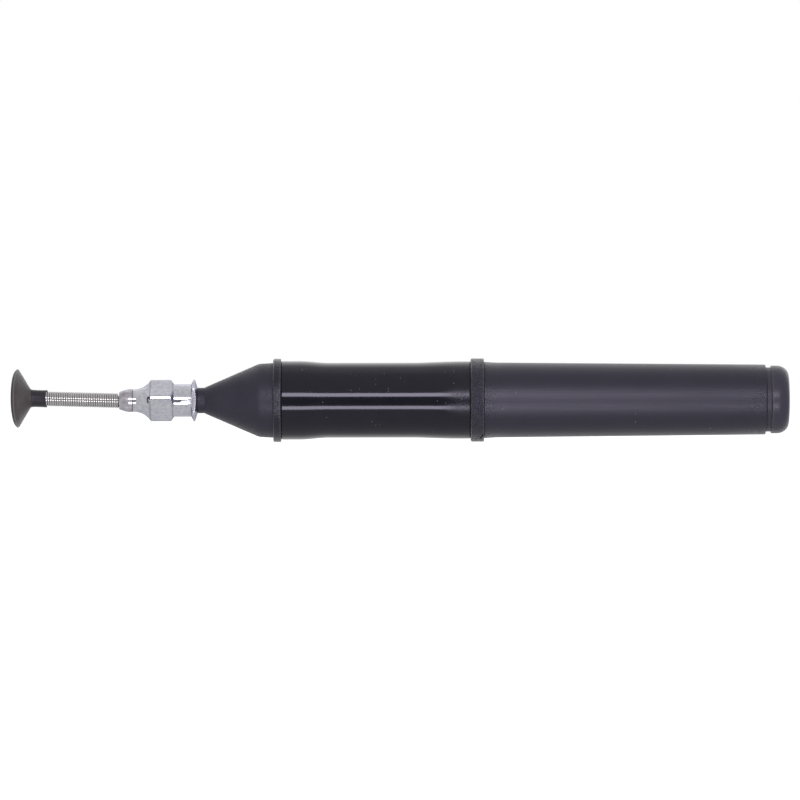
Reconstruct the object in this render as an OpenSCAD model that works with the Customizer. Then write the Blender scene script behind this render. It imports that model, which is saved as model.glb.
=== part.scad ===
// Hand-squeezed vacuum pick-up pen: a suction cup on a coil neck, a metal hub that locks on a
// tapered nose, a rubber squeeze sleeve between two collars, a hollow barrel and an end plug.
// The pen lies along X with its cup at -X and its plug at +X, and its collars stand on Z = 0.
// Millimetres throughout.

/* [Collars] */
// Outer diameter of both collars
collar_d = 15.7; // [15:0.1:19]
// Bore of both collars
collar_bore_d = 12; // [11.7:0.1:13]
// Length of the front collar
front_collar_len = 1.4; // [1.2:0.1:4]
// Length of the rear collar
rear_collar_len = 2.5; // [1.8:0.1:5]
// Chamfer on the front edge of each collar
collar_chamfer = 0.2; // [0.1:0.05:0.5]
// Length of the nick in the rear collar, measured round the collar
nick_len = 1.8; // [1:0.1:3]
// Width of the nick
nick_w = 0.3; // [0.2:0.05:0.5]
// Depth of the nick
nick_depth = 0.35; // [0.2:0.05:0.6]
// Distance from the nick's middle to the collar's rear face
nick_inset = 0.45; // [0.3:0.05:0.8]
// Slant of the nick from a line round the collar, in degrees
nick_slant = 15; // [0:5:30]
// Place of the nick round the collar, in degrees below the side at -Y
nick_turn = 62; // [0:1:90]

/* [Squeeze sleeve] */
// Length of the sleeve
sleeve_len = 35.7; // [30:0.1:60]
// Open groove between the front collar and the sleeve
sleeve_groove = 0.1; // [0.05:0.05:0.5]
// Outer diameter of the front cuff
front_cuff_d = 14.85; // [14:0.05:15]
// Outer diameter of the waist
waist_d = 14.15; // [13:0.05:14.2]
// Outer diameter of the rear cuff
rear_cuff_d = 14.55; // [14.2:0.05:15]
// Bore of the sleeve
sleeve_bore_d = 11; // [9:0.1:12]
// Length of the front cuff, before the sleeve narrows
front_cuff_len = 3.4; // [2:0.1:6]
// Length over which the front cuff narrows to the waist
front_taper_len = 5.7; // [3:0.1:8]
// Length over which the waist widens to the rear cuff
rear_taper_len = 7.5; // [3:0.1:8]
// Length of the rear cuff
rear_cuff_len = 3.6; // [2:0.1:6]
// Round on the sleeve's two outer edges
sleeve_round = 0.25; // [0.1:0.05:0.5]
// Width of each wall that is pressed in
squeeze_wall_w = 9.2; // [6:0.1:10]
// Gap round each wall that is pressed in
squeeze_wall_gap = 0.15; // [0.1:0.05:0.3]

/* [Connectors and core] */
// Length of each connector's spigot in the sleeve
sleeve_spigot_len = 6; // [4:0.1:8]
// Length of the front connector's spigot in the nose
nose_spigot_len = 4; // [3:0.1:5]
// Diameter of the socket in the nose
nose_socket_d = 10.2; // [9:0.1:11]
// Length of the rear connector's spigot in the barrel
barrel_spigot_len = 5; // [4:0.1:8]
// Outer diameter of the core tube
core_d = 4; // [3:0.1:4.5]
// Bore of the core tube
core_bore_d = 2.4; // [1.5:0.1:3]
// Depth to which the core tube enters each connector
core_seat_len = 5; // [3:0.1:6]
// Diameter of the cross holes in the core tube
core_hole_d = 1.2; // [0.8:0.1:1.6]
// Spacing of the two rows of cross holes
core_hole_pitch = 8; // [4:0.5:12]
// Thickness of every ring seal
seal_t = 1; // [0.8:0.1:1.2]

/* [Nose] */
// Length of the nose's straight part
nose_straight_len = 2.7; // [2:0.1:6]
// Diameter of the nose where it meets the front collar
nose_rear_d = 14.1; // [13.5:0.05:15]
// Diameter of the nose where its cone starts
nose_front_d = 13.8; // [13:0.05:14]
// Length of the cone
nose_cone_len = 10.2; // [8:0.1:16]
// Length over which the cone rounds into the straight part
nose_round_len = 1; // [0.4:0.1:2]
// Diameter of the cone at its small end
nose_small_d = 4.95; // [4.8:0.05:6]
// Diameter of the shoulder between the cone and the hub
shoulder_d = 4.8; // [4.5:0.05:4.8]
// Length of the shoulder
shoulder_len = 1.4; // [0.8:0.1:3]
// Bore of the airway in the nose
nose_airway_d = 2; // [1:0.1:2.4]

/* [Taper joint] */
// Diameter of the male taper at the mouth of the hub
taper_d = 4.28; // [4.1:0.01:4.4]
// Length of the male taper inside the hub
taper_len = 6.4; // [5:0.1:7.5]
// Loss of diameter for each millimetre of taper
taper_rate = 0.06; // [0.05:0.005:0.07]

/* [Hub] */
// Diameter of the round part behind the lugs
hub_d = 6.06; // [5.8:0.02:6.6]
// Length of the round part
hub_round_len = 3.2; // [2:0.1:6]
// Width of the square grip across its flats
grip_flats = 6.1; // [5.8:0.05:7]
// Diameter of the grip across its turned corners
grip_corners_d = 7.78; // [7:0.02:8.5]
// Length of the grip's flats
grip_len = 3.8; // [3:0.1:8]
// Length of the chamfer at the rear of the grip
grip_chamfer_len = 0.6; // [0.3:0.05:1]
// Turn of the grip about the pen's axis, in degrees
grip_turn = 35; // [0:5:90]
// Width across the tips of the two lugs
lug_span = 7.83; // [7.6:0.01:8]
// Width across the flats at the sides of the lugs
lug_flats = 6.3; // [6.1:0.05:7]
// Length of the lugs, from their root to the hub's mouth
lug_len = 1.2; // [1:0.05:2]
// Length of the flat on the tip of a lug
lug_tip_len = 0.25; // [0.1:0.05:0.4]
// Wall of the hub at its mouth
hub_mouth_wall = 0.25; // [0.15:0.05:0.5]
// Diameter of the hub's front neck
hub_neck_d = 4.2; // [3.8:0.05:4.4]
// Length of the straight part of the front neck
hub_neck_len = 0.15; // [0.1:0.05:1]
// Radius of the flare from the neck to the grip
flare_r = 3.8; // [3:0.1:5]

/* [Coil neck] */
// Length of the ferrule in front of the hub
ferrule_len = 2.6; // [2:0.1:5]
// Largest diameter of the ferrule
ferrule_d = 4.28; // [4:0.02:4.6]
// Diameter of the ferrule at its mouth
ferrule_mouth_d = 3.2; // [3.05:0.05:3.6]
// Length of the ferrule's rounded front
ferrule_round_len = 2.2; // [1:0.1:2.4]
// Length of the ferrule's spigot in the hub
ferrule_spigot_len = 1.3; // [1:0.1:2]
// Depth to which the coil enters the ferrule
coil_seat_len = 1.5; // [1:0.1:2]
// Length of the coil that shows
coil_len = 13.7; // [8:0.1:30]
// Outer diameter of the coil
coil_d = 2.6; // [2.4:0.05:2.7]
// Diameter of the coil's wire
wire_d = 0.43; // [0.3:0.01:0.5]
// Bore of the liner inside the coil
liner_bore_d = 1; // [0.6:0.1:1.1]
// Gap between the liner's end and the cup's stem
liner_end_gap = 0.35; // [0.3:0.05:0.8]
// Lean of the coil, up towards the cup, in degrees
coil_lean = 1.6; // [0:0.1:5]

/* [Suction cup] */
// Diameter of the cup at its widest edge
cup_d = 11.1; // [8:0.1:15]
// Length of the cup's neck in front of its sleeve
cup_neck_len = 0.27; // [0.1:0.01:1]
// Length of the cup's cone, from its neck to the widest edge
cup_cone_len = 2.45; // [2:0.05:4]
// Width of the fillet between the neck and the cone
cup_fillet_w = 0.55; // [0.2:0.05:0.8]
// Wall of the cup, measured along its axis
cup_wall = 0.75; // [0.5:0.05:0.9]
// Length of the rounded edge in front of the widest edge
lip_round_len = 0.4; // [0.3:0.02:0.8]
// Width of the rounded edge
lip_round_w = 0.37; // [0.2:0.01:0.5]
// Width of the flat ring that seals
lip_land = 0.4; // [0.3:0.05:0.6]
// Outer diameter of the sleeve between the cup and the coil
cup_sleeve_d = 3.3; // [3.1:0.05:4]
// Bore of that sleeve
cup_sleeve_bore_d = 2.3; // [2.2:0.05:2.5]
// Length of that sleeve
cup_sleeve_len = 2.8; // [2.5:0.05:5]
// Depth to which the cup's stem enters the sleeve
cup_stem_len = 1.3; // [1:0.1:1.6]
// Hole through the cup
cup_hole_d = 1; // [0.6:0.1:1.2]
// Turn of the cup and its sleeve on the coil's end, towards +Y, in degrees
cup_cock = 7.5; // [0:0.5:12]

/* [Barrel and plug] */
// Length of the barrel
barrel_len = 53.1; // [40:0.1:80]
// Outer diameter of the barrel's front rim
barrel_rim_d = 14.45; // [14.2:0.05:15]
// Outer diameter of the barrel behind the rim
barrel_front_d = 14.1; // [13.5:0.05:14.2]
// Outer diameter of the barrel at its rear end
barrel_rear_d = 13.2; // [12.9:0.05:13.5]
// Length over which the rim runs into the barrel
barrel_rim_len = 3.5; // [1:0.1:6]
// Bore of the barrel
barrel_bore_d = 11.2; // [10:0.1:11.4]
// Chamfer on the barrel's rear edge
barrel_chamfer = 0.15; // [0.05:0.05:0.4]
// Outer diameter of the gasket
gasket_d = 12.05; // [12:0.05:12.6]
// Length of the gasket
gasket_len = 1.05; // [0.8:0.05:2]
// Inside diameter of the gasket
gasket_bore_d = 10; // [9:0.1:10.5]
// Diameter of the plug's head
plug_d = 12.8; // [12.6:0.05:13]
// Length of the plug's head
plug_len = 3.35; // [3.1:0.05:8]
// Length of the plug's rounded edge, measured along the pen
plug_round_len = 2.4; // [1:0.1:3]
// Width of the plug's rounded edge, measured across the pen
plug_round_w = 2.7; // [1:0.05:4]
// Length of the plug's spigot in the barrel
plug_spigot_len = 6; // [4:0.1:10]
// Depth of the plug's neck inside the barrel's end
plug_neck_depth = 0.5; // [0.2:0.1:1]

/* [Fits] */
// Radial gap between a spigot and its socket
fit_gap = 0.05; // [0.02:0.01:0.1]
// Radial gap on the taper between the nose and the hub
taper_gap = 0.03; // [0.01:0.01:0.05]
// Gap between end faces that don't touch
end_gap = 0.05; // [0.03:0.01:0.1]

/* [Hidden] */
$fn = 72;
arc_steps = 10;      // straight pieces in a rounded or tapered outline
overcut = 1;         // how far a cutting shape passes the face it cuts

// Stations along the pen, from the front face of the front collar, rearwards
sleeve_x = front_collar_len + sleeve_groove;
rear_collar_x = sleeve_x + sleeve_len;
barrel_x = rear_collar_x + rear_collar_len;
gasket_x = barrel_x + barrel_len;
plug_x = gasket_x + gasket_len;
rear_x = plug_x + plug_len;

// Stations in front of the front collar
cone_x = -nose_straight_len;
shoulder_x = cone_x - nose_cone_len;
hub_mouth_x = shoulder_x - shoulder_len;
lug_x = hub_mouth_x - lug_len;
grip_rear_x = lug_x - hub_round_len;
grip_x = grip_rear_x - grip_chamfer_len - grip_len;

// The flare is an arc that leaves the neck along the pen and reaches the grip's corners
flare_rise = (grip_corners_d - hub_neck_d) / 2;
flare_turn = acos(1 - flare_rise / flare_r);
flare_len = flare_r * sin(flare_turn);
hub_front_x = grip_x - flare_len - hub_neck_len;
ferrule_x = hub_front_x - ferrule_len;

// Radii that follow from the fits
sleeve_spigot_r = sleeve_bore_d / 2 - fit_gap;
nose_spigot_r = nose_socket_d / 2 - fit_gap;
barrel_spigot_r = barrel_bore_d / 2 - fit_gap;
core_seat_r = core_d / 2 + fit_gap;
collar_land_r = collar_bore_d / 2 - fit_gap;
liner_r = coil_d / 2 - wire_d - fit_gap;
cup_stem_r = cup_sleeve_bore_d / 2 - fit_gap;
ferrule_spigot_r = (hub_neck_d / 2 + liner_r) / 2;
taper_small_r = (taper_d - taper_rate * taper_len) / 2;

// Ends of the core tube, inside the two connectors
core_front_x = sleeve_x + sleeve_spigot_len - core_seat_len;
core_rear_x = rear_collar_x - sleeve_spigot_len + core_seat_len;

// The pressed walls start and end clear of the connectors' spigots
window_margin = 0.5;
window_x = sleeve_x + sleeve_spigot_len + window_margin;
window_len = sleeve_len - 2 * (sleeve_spigot_len + window_margin);

// The cup leans and turns away from the pen's axis, so its foremost point is found from its slope
cup_edge = cup_sleeve_len + cup_neck_len + cup_cone_len;
cup_len = cup_edge + lip_round_len;
cup_along = cos(cup_cock) * cos(coil_lean);
cup_across = sqrt(1 - cup_along * cup_along);
coil_front_x = ferrule_x - coil_len * cos(coil_lean);
lip_front_x = coil_front_x - cup_len * cup_along - (cup_d / 2 - lip_round_w) * cup_across;
edge_front_x = coil_front_x - cup_edge * cup_along - cup_d / 2 * cup_across;
front_x = min(lip_front_x, edge_front_x);

// Turns children about the pen's axis, with the middle of the pen's length at X = 0
module in_pen() {
    translate([-(front_x + rear_x) / 2, 0, collar_d / 2]) children();
}

// A body of revolution on the pen's axis from an outline of [radius, station] points
module turned(outline) {
    rotate([0, 90, 0]) rotate_extrude() polygon(outline);
}

// A point on the curve that leaves one point towards a corner and bends round it to another point
function curve(start, corner, end, t) =
    start * (1 - t) * (1 - t) + corner * 2 * t * (1 - t) + end * t * t;

// A round bar or bore on the pen's axis from one station to another
module bar(from_x, to_x, r) {
    translate([from_x, 0, 0]) rotate([0, 90, 0]) cylinder(h = to_x - from_x, r = r);
}

// A ring seal on the pen's axis, centred on a station, with its inner radius
module ring_seal(x, inner_r) {
    translate([x, 0, 0]) rotate([0, 90, 0]) rotate_extrude()
        translate([inner_r + seal_t / 2, 0]) circle(d = seal_t);
}

// A groove round a spigot that takes a ring seal, cut down to the seal's inner radius
module seal_groove(x, inner_r, outer_r) {
    difference() {
        bar(x - seal_t / 2 - end_gap, x + seal_t / 2 + end_gap, outer_r + overcut);
        bar(x - seal_t, x + seal_t, inner_r - end_gap);
    }
}

// A collar, which is a ring round a connector, with a chamfer on its front edge
module collar(x, len) {
    r = collar_d / 2;
    bore_r = collar_bore_d / 2;
    turned([[bore_r, x], [r - collar_chamfer, x], [r, x + collar_chamfer], [r, x + len],
            [bore_r, x + len]]);
}

// The frame of the leaning coil, with its origin at the ferrule's mouth
module on_coil() {
    in_pen() translate([ferrule_x, 0, 0]) rotate([0, coil_lean, 0]) children();
}

// A body of revolution about the cocked cup's axis, from [radius, distance from the coil] points
module cup_turned(outline) {
    on_coil() translate([-coil_len, 0, 0]) rotate([0, 0, -cup_cock]) rotate([0, -90, 0])
        rotate_extrude() polygon(outline);
}

// Soft bell with a rounded lip, a flat sealing ring and a hollow stem in the sleeve
module suction_cup() {
    neck_r = cup_sleeve_d / 2;
    cone_start = cup_sleeve_len + cup_neck_len;
    slope = cup_cone_len / (cup_d / 2 - neck_r);
    land_r = cup_d / 2 - lip_round_w;
    land_in_r = land_r - lip_land;
    inside_r = land_in_r - lip_land / 2;
    floor = cone_start + cup_wall;
    fillet = [for (i = [0 : arc_steps])
        curve([neck_r, cup_sleeve_len], [neck_r, cone_start],
              [neck_r + cup_fillet_w, cone_start + cup_fillet_w * slope], i / arc_steps)];
    lip = [for (i = [0 : arc_steps])
        curve([cup_d / 2, cup_edge], [cup_d / 2, cup_len], [land_r, cup_len], i / arc_steps)];
    color("dimgray") cup_turned(concat(
        [[cup_hole_d / 2, cup_sleeve_len - cup_stem_len], [cup_stem_r, cup_sleeve_len - cup_stem_len],
         [cup_stem_r, cup_sleeve_len]],
        fillet, lip,
        [[land_in_r, cup_len], [inside_r, floor + (inside_r - neck_r) * slope],
         [neck_r, floor], [cup_hole_d / 2, floor]]));
}

// Short tube that joins the cup's stem to the coil; its mouth is opened where the coil enters cocked
module cup_sleeve() {
    bore_r = cup_sleeve_bore_d / 2;
    outer_r = cup_sleeve_d / 2;
    mouth_wall = 0.1;
    color([0.2, 0.2, 0.22]) cup_turned([
        [outer_r - mouth_wall, 0], [outer_r, 0], [outer_r, cup_sleeve_len],
        [bore_r, cup_sleeve_len], [bore_r, outer_r - bore_r]]);
}

// Close-wound coil, as the tube that its turns make
module coil_sheath() {
    color("silver") on_coil() difference() {
        bar(-coil_len, coil_seat_len, coil_d / 2);
        bar(-coil_len - overcut, coil_seat_len + overcut, coil_d / 2 - wire_d);
    }
}

// Air-tight liner inside the coil, from the cup's sleeve into the ferrule
module airway_tube() {
    sleeve_entry = cup_sleeve_len - cup_stem_len - liner_end_gap;
    hub_entry = coil_seat_len + ferrule_spigot_len;
    color("lightgray") on_coil() difference() {
        bar(-coil_len - sleeve_entry, hub_entry, liner_r);
        bar(-coil_len - sleeve_entry - overcut, hub_entry + overcut, liner_bore_d / 2);
    }
}

// Rounded bead that grips the coil, with a spigot in the hub's neck
module crimp_ferrule() {
    mouth_r = ferrule_mouth_d / 2;
    full_r = ferrule_d / 2;
    neck_r = hub_neck_d / 2;
    coil_clear_r = coil_d / 2 + 2 * fit_gap;
    liner_clear_r = liner_r + 2 * fit_gap;
    bead = [for (i = [0 : arc_steps])
        [mouth_r + (full_r - mouth_r) * sin(90 * i / arc_steps),
         ferrule_x + ferrule_round_len * (1 - cos(90 * i / arc_steps))]];
    color([0.65, 0.63, 0.66]) in_pen() difference() {
        union() {
            turned(concat([[0, ferrule_x]], bead,
                [[full_r, hub_front_x - end_gap * 2], [neck_r, hub_front_x], [0, hub_front_x]]));
            bar(hub_front_x - overcut, hub_front_x + ferrule_spigot_len, ferrule_spigot_r);
        }
        bar(ferrule_x - overcut, ferrule_x + coil_seat_len + end_gap, coil_clear_r);
        bar(ferrule_x, hub_front_x + ferrule_spigot_len + overcut, liner_clear_r);
    }
}

// The hub's turned outline, before its grip and lugs get their flats
module hub_outline() {
    neck_r = hub_neck_d / 2;
    round_r = hub_d / 2;
    corner_r = grip_corners_d / 2;
    flare = [for (i = [0 : arc_steps])
        [neck_r + flare_r * (1 - cos(flare_turn * i / arc_steps)),
         hub_front_x + hub_neck_len + flare_r * sin(flare_turn * i / arc_steps)]];
    turned(concat([[0, hub_front_x], [neck_r, hub_front_x]], flare,
        [[corner_r, grip_x + grip_len], [round_r, grip_rear_x], [round_r, lug_x], [0, lug_x]]));
}

// Two pointed lugs on a flange with flats at its sides
module lugs() {
    tip_r = lug_span / 2;
    tip_x = (lug_x + hub_mouth_x) / 2;
    intersection() {
        turned([[0, lug_x - overcut], [hub_d / 2, lug_x - overcut], [hub_d / 2, lug_x],
                [tip_r, tip_x - lug_tip_len / 2], [tip_r, tip_x + lug_tip_len / 2],
                [taper_d / 2 + hub_mouth_wall, hub_mouth_x], [0, hub_mouth_x]]);
        translate([lug_x - 2 * overcut, -lug_flats / 2, -lug_span])
            cube([lug_len + 4 * overcut, lug_flats, 2 * lug_span]);
    }
}

// Metal hub: square grip, two lugs, a female taper and the airway to the coil
module nozzle_hub() {
    bore_end_x = hub_mouth_x - taper_len - end_gap * 4;
    mouth_r = taper_d / 2 + taper_gap;
    bore_end_r = mouth_r - taper_rate / 2 * (hub_mouth_x - bore_end_x);
    socket_end_x = hub_front_x + ferrule_spigot_len + end_gap;
    color("lightgray") in_pen() difference() {
        union() {
            intersection() {
                hub_outline();
                translate([(hub_front_x + hub_mouth_x) / 2, 0, 0]) rotate([grip_turn, 0, 0])
                    cube([hub_mouth_x - hub_front_x + overcut, grip_flats, grip_flats], center = true);
            }
            lugs();
        }
        turned([[0, bore_end_x], [bore_end_r, bore_end_x], [mouth_r, hub_mouth_x],
                [mouth_r, hub_mouth_x + overcut], [0, hub_mouth_x + overcut]]);
        bar(hub_front_x - overcut, socket_end_x, ferrule_spigot_r + fit_gap);
        bar(hub_front_x, bore_end_x + overcut, liner_r + 3 * fit_gap);
    }
}

// Cone nose with the male taper, the airway and the socket for the front connector
module nose_cone() {
    socket_end_x = -nose_spigot_len - end_gap;
    front_r = nose_front_d / 2;
    small_r = nose_small_d / 2;
    cone_rise = (front_r - small_r) / nose_cone_len;
    color([0.22, 0.22, 0.25]) in_pen() difference() {
        turned([[0, hub_mouth_x - taper_len], [taper_small_r, hub_mouth_x - taper_len],
                [taper_d / 2, hub_mouth_x], [taper_d / 2, hub_mouth_x + end_gap],
                [shoulder_d / 2, hub_mouth_x + end_gap],
                [shoulder_d / 2, shoulder_x], [small_r, shoulder_x],
                [front_r - nose_round_len / 2 * cone_rise, cone_x - nose_round_len / 2],
                [front_r, cone_x + nose_round_len / 2],
                [nose_rear_d / 2, -end_gap], [0, -end_gap]]);
        bar(hub_mouth_x - taper_len - overcut, socket_end_x + overcut, nose_airway_d / 2);
        bar(socket_end_x, overcut, nose_socket_d / 2);
    }
}

// Ring seal between the nose's socket and the front connector
module nose_seal() {
    color("black") in_pen() ring_seal(-nose_spigot_len / 2, nose_socket_d / 2 - seal_t - end_gap);
}

// Collar between the nose and the sleeve
module front_collar() {
    color([0.21, 0.21, 0.24]) in_pen() collar(0, front_collar_len);
}

// Front connector: two spigots and the land that carries the collar, bored for the airway and
// the core tube
module front_connector() {
    color([0.3, 0.3, 0.33]) in_pen() difference() {
        union() {
            bar(0, front_collar_len, collar_land_r);
            bar(-nose_spigot_len, overcut, nose_spigot_r);
            bar(front_collar_len / 2, sleeve_x + sleeve_spigot_len, sleeve_spigot_r);
        }
        seal_groove(-nose_spigot_len / 2, nose_socket_d / 2 - seal_t - end_gap, nose_spigot_r);
        bar(-nose_spigot_len - overcut, core_front_x, nose_airway_d / 2);
        bar(core_front_x - end_gap, sleeve_x + sleeve_spigot_len + overcut, core_seat_r);
        bar(sleeve_x + sleeve_spigot_len - seal_t - end_gap, sleeve_x + sleeve_spigot_len + overcut,
            core_d / 2 + seal_t + 2 * end_gap);
    }
}

// Ring seal round the core tube's front end
module front_core_seal() {
    color("black") in_pen()
        ring_seal(sleeve_x + sleeve_spigot_len - seal_t / 2, core_d / 2 + end_gap);
}

// Stiff tube that keeps the pen straight and carries the air, with two rows of cross holes
module core_tube() {
    mid_x = (core_front_x + core_rear_x) / 2;
    color("silver") in_pen() difference() {
        bar(core_front_x, core_rear_x, core_d / 2);
        bar(core_front_x - overcut, core_rear_x + overcut, core_bore_d / 2);
        for (side = [-1, 1])
            translate([mid_x + side * core_hole_pitch / 2, 0, 0])
                cylinder(h = core_d + overcut, d = core_hole_d, center = true);
    }
}

// Ring seal round the core tube's rear end
module rear_core_seal() {
    color("black") in_pen()
        ring_seal(rear_collar_x - sleeve_spigot_len + seal_t / 2, core_d / 2 + end_gap);
}

// Outer radius of the sleeve along a taper, from one radius to another without a corner
function eased(from_r, to_r, t) = from_r + (to_r - from_r) * (1 - cos(180 * t)) / 2;

// The whole sleeve, with its cuffs, its waist and its bore
module sleeve_body() {
    front_r = front_cuff_d / 2;
    waist_r = waist_d / 2;
    rear_r = rear_cuff_d / 2;
    bore_r = sleeve_bore_d / 2;
    end_x = sleeve_x + sleeve_len;
    front_taper = [for (i = [0 : arc_steps])
        [eased(front_r, waist_r, i / arc_steps),
         sleeve_x + front_cuff_len + front_taper_len * i / arc_steps]];
    rear_taper = [for (i = [0 : arc_steps])
        [eased(waist_r, rear_r, i / arc_steps),
         end_x - rear_cuff_len - rear_taper_len * (1 - i / arc_steps)]];
    turned(concat([[bore_r, sleeve_x], [front_r - sleeve_round, sleeve_x],
                   [front_r, sleeve_x + sleeve_round]], front_taper, rear_taper,
        [[rear_r, end_x - sleeve_round], [rear_r - sleeve_round, end_x], [bore_r, end_x]]));
}

// Rubber sleeve without the two walls that are pressed in
module squeeze_sleeve() {
    color([0.18, 0.18, 0.2]) in_pen() difference() {
        sleeve_body();
        translate([window_x, -squeeze_wall_w / 2, -collar_d / 2])
            cube([window_len, squeeze_wall_w, collar_d]);
    }
}

// One wall that is pressed in: side is 1 for the upper wall and -1 for the lower
module squeeze_wall(side) {
    color([0.24, 0.24, 0.27]) in_pen() intersection() {
        sleeve_body();
        translate([window_x + window_len / 2, 0, side * collar_d / 4])
            cube([window_len - 2 * squeeze_wall_gap, squeeze_wall_w - 2 * squeeze_wall_gap,
                  collar_d / 2], center = true);
    }
}

module upper_squeeze_wall() { squeeze_wall(1); }

module lower_squeeze_wall() { squeeze_wall(-1); }

// Collar between the sleeve and the barrel, with a nick in its rear edge
module rear_collar() {
    color([0.25, 0.25, 0.28]) in_pen() difference() {
        collar(rear_collar_x, rear_collar_len);
        translate([barrel_x - nick_inset, 0, 0]) rotate([nick_turn, 0, 0])
            translate([0, -collar_d / 2, 0]) rotate([0, nick_slant, 0])
                cube([nick_w, 2 * nick_depth, nick_len], center = true);
    }
}

// Rear connector: two spigots and the land that carries the collar; its web closes the air space
// off from the barrel
module rear_connector() {
    color([0.3, 0.3, 0.33]) in_pen() difference() {
        union() {
            bar(rear_collar_x, barrel_x, collar_land_r);
            bar(rear_collar_x - sleeve_spigot_len, rear_collar_x + overcut, sleeve_spigot_r);
            bar(rear_collar_x + overcut, barrel_x + barrel_spigot_len, barrel_spigot_r);
        }
        seal_groove(barrel_x + barrel_spigot_len / 2, barrel_bore_d / 2 - seal_t - end_gap,
                    barrel_spigot_r);
        bar(rear_collar_x - sleeve_spigot_len - overcut, core_rear_x + end_gap, core_seat_r);
        bar(rear_collar_x - sleeve_spigot_len - overcut,
            rear_collar_x - sleeve_spigot_len + seal_t + end_gap, core_d / 2 + seal_t + 2 * end_gap);
    }
}

// Ring seal between the rear connector and the barrel
module barrel_seal() {
    color("black") in_pen()
        ring_seal(barrel_x + barrel_spigot_len / 2, barrel_bore_d / 2 - seal_t - end_gap);
}

// Tapered hollow barrel with a flared front rim
module rear_barrel() {
    rim_r = barrel_rim_d / 2;
    front_r = barrel_front_d / 2;
    rear_r = barrel_rear_d / 2;
    bore_r = barrel_bore_d / 2;
    rim = [for (i = [0 : arc_steps])
        [front_r + (rim_r - front_r) * pow(1 - i / arc_steps, 2),
         barrel_x + end_gap + barrel_rim_len * i / arc_steps]];
    color([0.24, 0.24, 0.27]) in_pen() turned(concat([[bore_r, barrel_x + end_gap]], rim,
        [[rear_r, gasket_x - barrel_chamfer], [rear_r - barrel_chamfer, gasket_x],
         [bore_r, gasket_x]]));
}

// Narrow ring between the barrel's end and the plug's head
module plug_gasket() {
    color([0.2, 0.2, 0.22]) in_pen() turned([
        [gasket_bore_d / 2, gasket_x + end_gap], [gasket_d / 2, gasket_x + end_gap],
        [gasket_d / 2, plug_x - end_gap], [gasket_bore_d / 2, plug_x - end_gap]]);
}

// Rounded plug with a neck under the gasket and a spigot in the barrel
module end_plug() {
    head_r = plug_d / 2;
    neck_r = gasket_bore_d / 2 - fit_gap;
    edge = [for (i = [0 : arc_steps])
        [head_r - plug_round_w * (1 - cos(90 * i / arc_steps)),
         rear_x - plug_round_len * (1 - sin(90 * i / arc_steps))]];
    color([0.32, 0.32, 0.35]) in_pen() turned(concat(
        [[0, gasket_x - plug_spigot_len], [barrel_spigot_r - fit_gap, gasket_x - plug_spigot_len],
         [barrel_spigot_r, gasket_x - plug_spigot_len + fit_gap],
         [barrel_spigot_r, gasket_x - plug_neck_depth], [neck_r, gasket_x - plug_neck_depth],
         [neck_r, plug_x], [head_r, plug_x]],
        edge, [[0, rear_x]]));
}

suction_cup();
cup_sleeve();
coil_sheath();
airway_tube();
crimp_ferrule();
nozzle_hub();
nose_cone();
nose_seal();
front_collar();
front_connector();
front_core_seal();
core_tube();
rear_core_seal();
squeeze_sleeve();
upper_squeeze_wall();
lower_squeeze_wall();
rear_collar();
rear_connector();
barrel_seal();
rear_barrel();
plug_gasket();
end_plug();
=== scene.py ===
# %% [markdown]
# # A vacuum pick-up pen
# The pen lifts small electronic parts: a hand squeezes the rubber sleeve, the soft cup is set on a
# chip, and the sleeve swells again and sucks. Sizes and moving bodies come from a construction
# model, the frame, so this lesson only makes what the eye sees. The scene is in metres, outlines
# are written in millimetres, and the pen lies along X with its cup at -X.

# %% Load the frame
import math

import bpy
from mathutils import Matrix, Vector


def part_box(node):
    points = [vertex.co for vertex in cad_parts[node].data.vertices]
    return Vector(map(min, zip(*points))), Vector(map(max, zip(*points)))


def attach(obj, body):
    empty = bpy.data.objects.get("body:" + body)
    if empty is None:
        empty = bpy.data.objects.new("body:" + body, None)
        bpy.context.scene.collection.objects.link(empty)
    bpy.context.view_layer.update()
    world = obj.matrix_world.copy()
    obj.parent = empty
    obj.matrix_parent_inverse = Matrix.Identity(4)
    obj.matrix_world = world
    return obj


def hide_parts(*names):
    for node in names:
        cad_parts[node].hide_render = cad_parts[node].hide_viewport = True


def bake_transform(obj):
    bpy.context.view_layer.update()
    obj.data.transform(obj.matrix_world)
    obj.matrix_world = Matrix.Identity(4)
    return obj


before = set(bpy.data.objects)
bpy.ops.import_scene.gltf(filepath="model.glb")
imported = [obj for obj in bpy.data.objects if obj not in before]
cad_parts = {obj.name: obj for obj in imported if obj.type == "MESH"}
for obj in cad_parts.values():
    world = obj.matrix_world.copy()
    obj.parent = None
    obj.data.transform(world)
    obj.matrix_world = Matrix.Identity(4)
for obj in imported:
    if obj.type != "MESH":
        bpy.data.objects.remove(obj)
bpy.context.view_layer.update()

# %% [markdown]
# Every turned piece sits on the pen's axis, which lies half a collar above the table. The places
# along the pen are read from the frame, so that a piece can't drift from the part it stands for.

# %% Find the pen's axis and the places along it
MM = 0.001
AXIS = Vector((0, 0, (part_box("rear_collar")[0].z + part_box("rear_collar")[1].z) / 2))


def place_along(node):
    """Where a frame node starts and ends along the pen, in millimetres."""
    low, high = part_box(node)
    return low.x / MM, high.x / MM


nose_x, nose_end = place_along("nose_cone")
collar_x, collar_end = place_along("front_collar")
sleeve_x, sleeve_end = place_along("squeeze_sleeve")
rear_collar_x, rear_collar_end = place_along("rear_collar")
barrel_x, barrel_end = place_along("rear_barrel")
gasket_x, gasket_end = place_along("plug_gasket")
plug_x, plug_end = place_along("end_plug")
hub_x, hub_end = place_along("nozzle_hub")
ferrule_x, ferrule_end = place_along("crimp_ferrule")
print("axis height", round(AXIS.z / MM, 3), "mm")

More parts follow.
